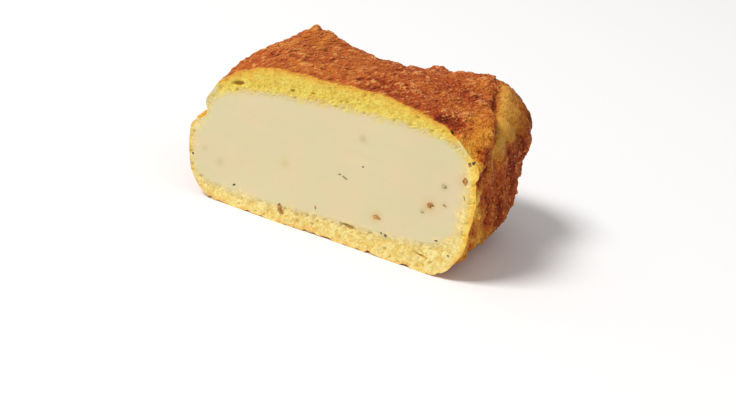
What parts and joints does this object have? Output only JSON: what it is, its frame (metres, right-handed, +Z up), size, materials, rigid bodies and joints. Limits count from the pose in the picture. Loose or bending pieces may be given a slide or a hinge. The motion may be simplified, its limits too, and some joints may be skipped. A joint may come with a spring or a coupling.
{
  "type": "potato knish",
  "caption": "Cut half of a square fried potato knish: a browned, crumbly dough crust round a pale potato filling that shows at the straight cut.",
  "frame": {"origin": "under the middle of the half, on the surface it rests on", "axes": "+X along the cut towards the end with the overhanging top sheet, +Y from the cut face to the uncut side, +Z up"},
  "size_m": [0.0824, 0.051, 0.043],
  "materials": {
    "fried_dough": "matt fried dough, red-brown and crumbly on top, golden at the ends, with pale yellow crumb at the cut",
    "potato_mash": "smooth matt cream mash, cut clean, with small fried onion bits"
  },
  "bodies": {
    "root": {"crust": "fried_dough", "filling": "potato_mash"}
  },
  "joints": []
}
